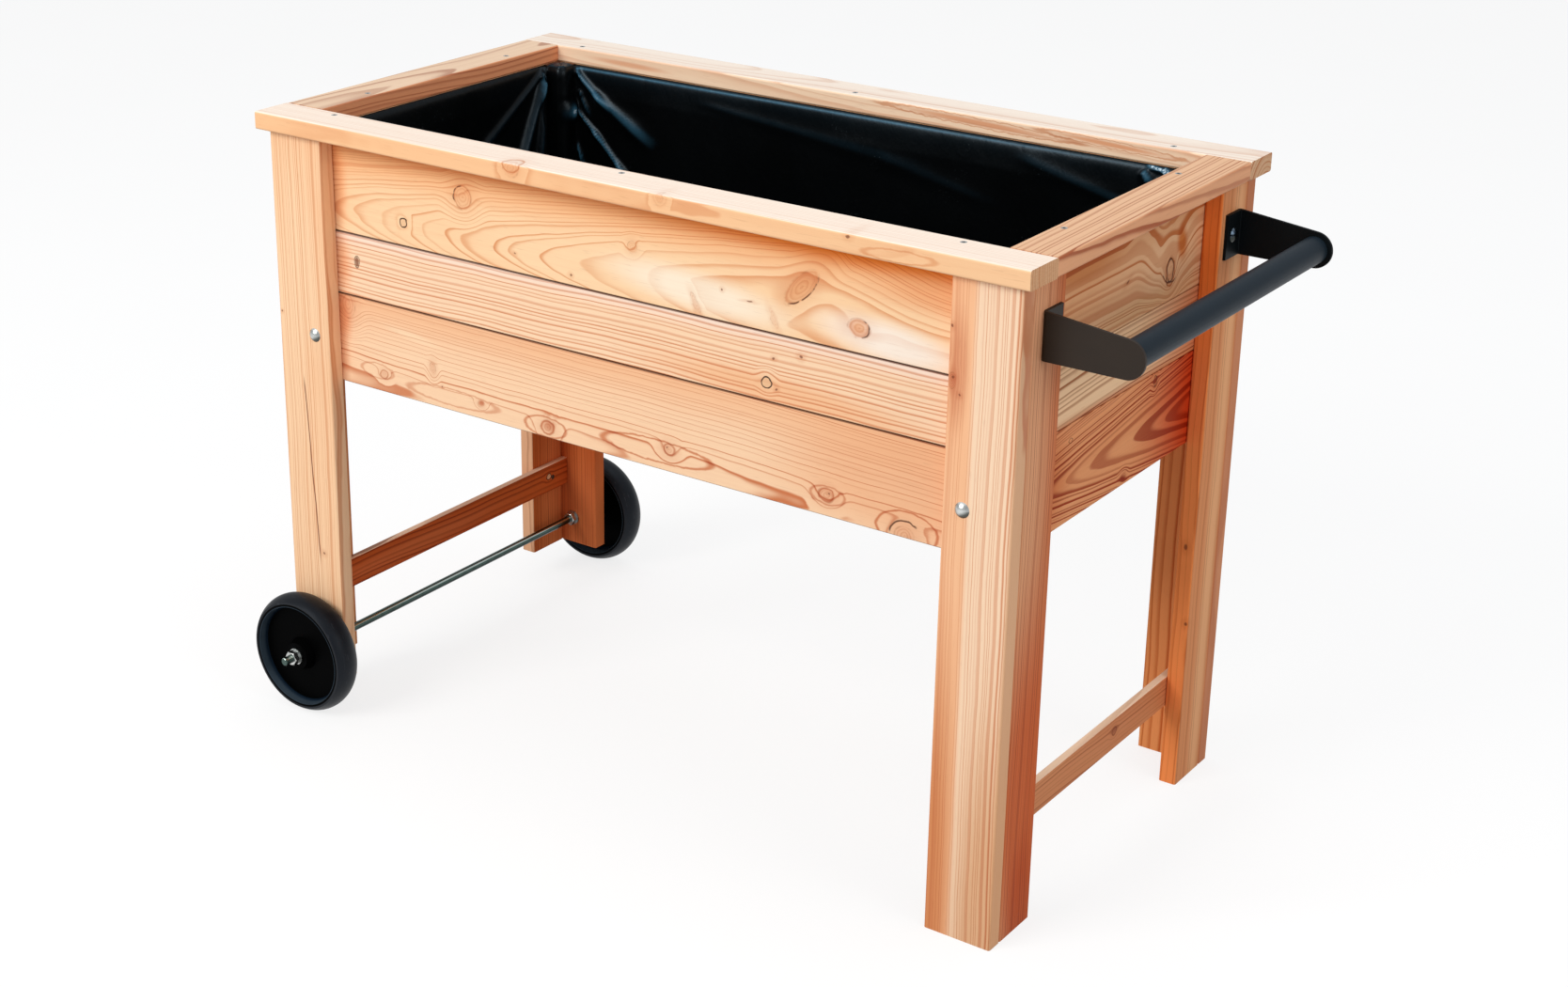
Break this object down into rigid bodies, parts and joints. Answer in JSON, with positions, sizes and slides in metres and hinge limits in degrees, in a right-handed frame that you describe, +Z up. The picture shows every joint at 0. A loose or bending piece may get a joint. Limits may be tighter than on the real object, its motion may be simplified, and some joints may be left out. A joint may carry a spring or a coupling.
{
  "type": "rolling planter",
  "caption": "Waist-high wooden tub planter with a black film liner, on L-shaped legs, with wheels at one end and a tube handle at the other.",
  "frame": {"origin": "on the floor, under the middle of the whole outline in length and width", "axes": "+X toward the handle end, along the tub's length; -Y toward the front long side; +Z up"},
  "size_m": [1.347, 0.7656, 0.882],
  "materials": {
    "larch_boards": "planed, oiled",
    "frame_timber": "rough planed",
    "liner_film": "glossy black film",
    "zinc_hardware": "bright zinc plated",
    "handle_paint": "satin slate powder coat",
    "wheel_plastic": "satin black",
    "tyre_rubber": "matt black"
  },
  "bodies": {
    "planter": {"front_rail": "larch_boards", "rear_rail": "larch_boards", "wheel_end_rail": "larch_boards", "handle_end_rail": "larch_boards", "front_wheel_leg_face": "larch_boards", "front_wheel_leg_side": "larch_boards", "rear_wheel_leg_face": "larch_boards", "rear_wheel_leg_side": "larch_boards", "front_handle_leg_face": "larch_boards", "front_handle_leg_side": "larch_boards", "rear_handle_leg_face": "larch_boards", "rear_handle_leg_side": "larch_boards", "front_plank_low": "larch_boards", "front_plank_mid": "larch_boards", "front_plank_top": "larch_boards", "rear_plank_low": "larch_boards", "rear_plank_mid": "larch_boards", "rear_plank_top": "larch_boards", "wheel_end_plank_low": "larch_boards", "wheel_end_plank_mid": "larch_boards", "wheel_end_plank_top": "larch_boards", "handle_end_plank_low": "larch_boards", "handle_end_plank_mid": "larch_boards", "handle_end_plank_top": "larch_boards", "wheel_stretcher": "larch_boards", "handle_stretcher": "larch_boards", "front_wheel_post": "frame_timber", "rear_wheel_post": "frame_timber", "front_handle_post": "frame_timber", "rear_handle_post": "frame_timber", "front_bearer": "frame_timber", "rear_bearer": "frame_timber", "wheel_end_bearer": "frame_timber", "handle_end_bearer": "frame_timber", "floor_boards": "frame_timber", "axle_rod": "zinc_hardware", "axle_nuts": "zinc_hardware", "axle_washers": "zinc_hardware", "face_bolts": "zinc_hardware", "wheel_end_bolts": "zinc_hardware", "handle_bolts": "zinc_hardware", "bolt_washers": "zinc_hardware", "bolt_nuts": "zinc_hardware", "rim_screws": "zinc_hardware", "plank_screws": "zinc_hardware", "bearer_screws": "zinc_hardware", "stretcher_screws": "zinc_hardware", "handle_tube": "handle_paint", "front_handle_bracket": "handle_paint", "rear_handle_bracket": "handle_paint", "liner": "liner_film"},
    "front_wheel": {"front_wheel_disc": "wheel_plastic", "front_wheel_tyre": "tyre_rubber"},
    "rear_wheel": {"rear_wheel_disc": "wheel_plastic", "rear_wheel_tyre": "tyre_rubber"}
  },
  "joints": [
    {"name": "front_wheel_spin", "type": "hinge", "parent": "planter", "child": "front_wheel", "pos_m": [-0.5835, -0.3375, 0.09], "axis": [0, 1, 0], "continuous": true},
    {"name": "rear_wheel_spin", "type": "hinge", "parent": "planter", "child": "rear_wheel", "pos_m": [-0.5835, 0.3375, 0.09], "axis": [0, 1, 0], "continuous": true}
  ]
}
